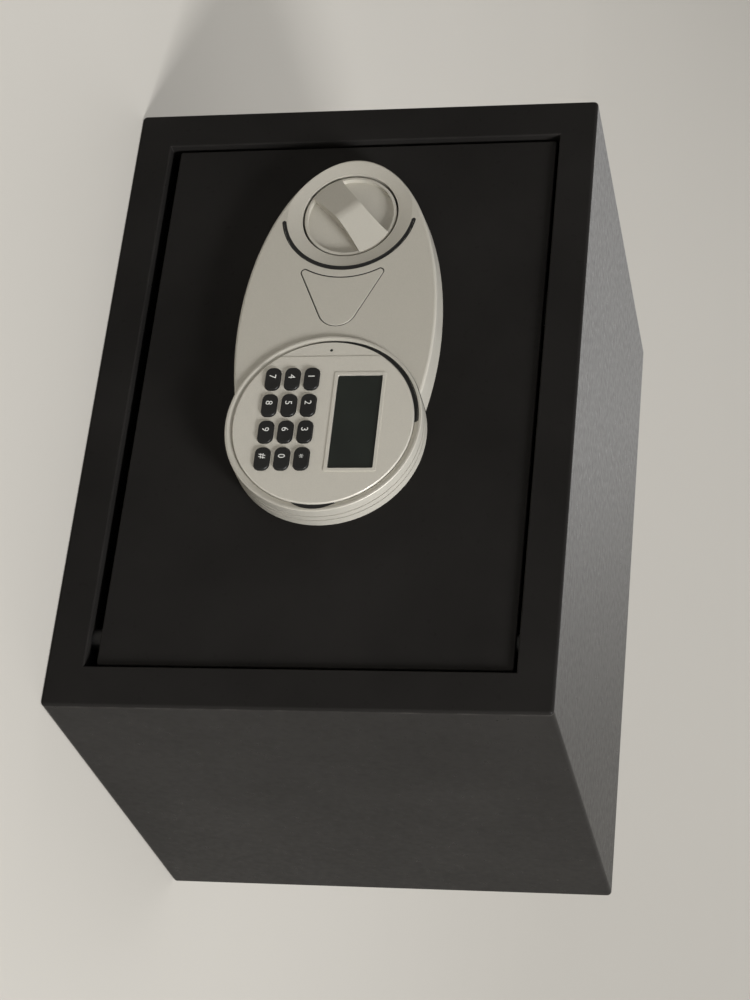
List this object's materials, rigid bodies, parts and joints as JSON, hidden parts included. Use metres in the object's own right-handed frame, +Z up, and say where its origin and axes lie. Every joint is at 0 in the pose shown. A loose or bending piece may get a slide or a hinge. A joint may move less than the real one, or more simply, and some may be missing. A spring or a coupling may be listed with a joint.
{
  "type": "in-room safe",
  "caption": "Compact steel box safe with an inset hinged door, an oval lock panel with a turning knob and a round keypad with a display.",
  "frame": {"origin": "centre of the cabinet's base, on the surface it stands on", "axes": "+X to the right as seen from in front of the door, +Y into the safe, +Z up"},
  "size_m": [0.35, 0.2641, 0.25],
  "materials": {
    "black_powder_coat": "fine-textured black powder coat on sheet steel",
    "silver_plastic": "satin silver paint on moulded ABS",
    "black_plastic": "fine spark texture",
    "black_key_plastic": "semi-gloss, printed white legend",
    "red_plastic": "gloss",
    "dark_acrylic": "clear window over a dark display",
    "white_nylon": "moulded",
    "grey_silicone": "matt",
    "green_board": "solder mask",
    "zinc_steel": "bright zinc plating",
    "nickel_plate": "polished nickel plating",
    "grey_felt": "needled felt",
    "cell_jacket": null,
    "grey_cable": "sheath"
  },
  "bodies": {
    "cabinet": {"cabinet_wrap": "black_powder_coat", "front_frame": "black_powder_coat", "back_panel": "black_powder_coat", "door_stops": "black_powder_coat", "floor_mat": "grey_felt", "hinge_spacers": "black_plastic"},
    "door": {"door_plate": "black_powder_coat", "hinge_brackets": "black_powder_coat", "hinge_pins": "zinc_steel", "lock_escutcheon": "silver_plastic", "knob_bush": "white_nylon", "panel_screws": "zinc_steel", "cylinder_body": "nickel_plate", "cylinder_nut": "zinc_steel", "keypad_housing": "silver_plastic", "keypad_trim_ring": "silver_plastic", "keypad_face": "silver_plastic", "display_lens": "dark_acrylic", "display_module": "dark_acrylic", "status_led": "dark_acrylic", "key_mat": "grey_silicone", "keypad_board": "green_board", "board_screws": "zinc_steel", "bolt_guides": "zinc_steel", "carriage_guides": "zinc_steel", "solenoid_body": "zinc_steel", "plunger_spring": "zinc_steel", "mechanism_cover": "black_plastic", "cover_screws": "zinc_steel", "battery_tray": "black_plastic", "aa_cells": "cell_jacket", "battery_contacts": "nickel_plate", "control_board": "green_board", "keypad_cable": "grey_cable"},
    "knob": {"knob": "silver_plastic", "knob_shaft": "zinc_steel", "crank_plate": "zinc_steel", "shaft_clip": "zinc_steel"},
    "bolts": {"lock_bolts": "nickel_plate", "bolt_carriage": "zinc_steel"},
    "plunger": {"solenoid_plunger": "nickel_plate"},
    "key_cover": {"key_cover": "silver_plastic"},
    "override_plug": {"cylinder_plug": "nickel_plate", "cylinder_cam": "zinc_steel"},
    "battery_lid": {"battery_lid": "black_plastic"},
    "reset_button": {"reset_button": "red_plastic"},
    "key_1": {"key_1": "black_key_plastic"},
    "key_2": {"key_2": "black_key_plastic"},
    "key_3": {"key_3": "black_key_plastic"},
    "key_star": {"key_star": "black_key_plastic"},
    "key_4": {"key_4": "black_key_plastic"},
    "key_5": {"key_5": "black_key_plastic"},
    "key_6": {"key_6": "black_key_plastic"},
    "key_0": {"key_0": "black_key_plastic"},
    "key_7": {"key_7": "black_key_plastic"},
    "key_8": {"key_8": "black_key_plastic"},
    "key_9": {"key_9": "black_key_plastic"},
    "key_hash": {"key_hash": "black_key_plastic"}
  },
  "joints": [
    {"name": "door_hinge", "type": "hinge", "parent": "cabinet", "child": "door", "pos_m": [0.136, -0.115, 0.125], "axis": [0, 0, 1], "range_deg": [0, 110]},
    {"name": "bolt_slide", "type": "slide", "parent": "door", "child": "bolts", "axis": [1, 0, 0], "range_m": [-0.014, 0]},
    {"name": "knob_turn", "type": "hinge", "parent": "door", "child": "knob", "pos_m": [-0.1, -0.125, 0.126], "axis": [0, 1, 0], "range_deg": [-81, 1]},
    {"name": "plunger_slide", "type": "slide", "parent": "door", "child": "plunger", "axis": [0, 0, 1], "range_m": [-0.006, 0], "stiffness_N_per_m": 20, "springref_m": -0.01, "deforming": ["plunger_spring"]},
    {"name": "key_cover_lift_off", "type": "slide", "parent": "door", "child": "key_cover", "axis": [0, -1, 0], "range_m": [0, 0.02]},
    {"name": "override_turn", "type": "hinge", "parent": "door", "child": "override_plug", "pos_m": [-0.052, -0.11, 0.126], "axis": [0, 1, 0], "range_deg": [0, 90]},
    {"name": "battery_lid_lift_off", "type": "slide", "parent": "door", "child": "battery_lid", "axis": [0, 1, 0], "range_m": [0, 0.015]},
    {"name": "reset_press", "type": "slide", "parent": "door", "child": "reset_button", "axis": [0, -1, 0], "range_m": [0, 0.0015], "stiffness_N_per_m": 150},
    {"name": "press_1", "type": "slide", "parent": "door", "child": "key_1", "axis": [0, 1, 0], "range_m": [0, 0.0012], "stiffness_N_per_m": 200},
    {"name": "press_2", "type": "slide", "parent": "door", "child": "key_2", "axis": [0, 1, 0], "range_m": [0, 0.0012], "stiffness_N_per_m": 200},
    {"name": "press_3", "type": "slide", "parent": "door", "child": "key_3", "axis": [0, 1, 0], "range_m": [0, 0.0012], "stiffness_N_per_m": 200},
    {"name": "press_star", "type": "slide", "parent": "door", "child": "key_star", "axis": [0, 1, 0], "range_m": [0, 0.0012], "stiffness_N_per_m": 200},
    {"name": "press_4", "type": "slide", "parent": "door", "child": "key_4", "axis": [0, 1, 0], "range_m": [0, 0.0012], "stiffness_N_per_m": 200},
    {"name": "press_5", "type": "slide", "parent": "door", "child": "key_5", "axis": [0, 1, 0], "range_m": [0, 0.0012], "stiffness_N_per_m": 200},
    {"name": "press_6", "type": "slide", "parent": "door", "child": "key_6", "axis": [0, 1, 0], "range_m": [0, 0.0012], "stiffness_N_per_m": 200},
    {"name": "press_0", "type": "slide", "parent": "door", "child": "key_0", "axis": [0, 1, 0], "range_m": [0, 0.0012], "stiffness_N_per_m": 200},
    {"name": "press_7", "type": "slide", "parent": "door", "child": "key_7", "axis": [0, 1, 0], "range_m": [0, 0.0012], "stiffness_N_per_m": 200},
    {"name": "press_8", "type": "slide", "parent": "door", "child": "key_8", "axis": [0, 1, 0], "range_m": [0, 0.0012], "stiffness_N_per_m": 200},
    {"name": "press_9", "type": "slide", "parent": "door", "child": "key_9", "axis": [0, 1, 0], "range_m": [0, 0.0012], "stiffness_N_per_m": 200},
    {"name": "press_hash", "type": "slide", "parent": "door", "child": "key_hash", "axis": [0, 1, 0], "range_m": [0, 0.0012], "stiffness_N_per_m": 200}
  ],
  "couplings": [
    {"joint": "knob_turn", "follows": "bolt_slide", "rad_per_m": 99.733}
  ]
}
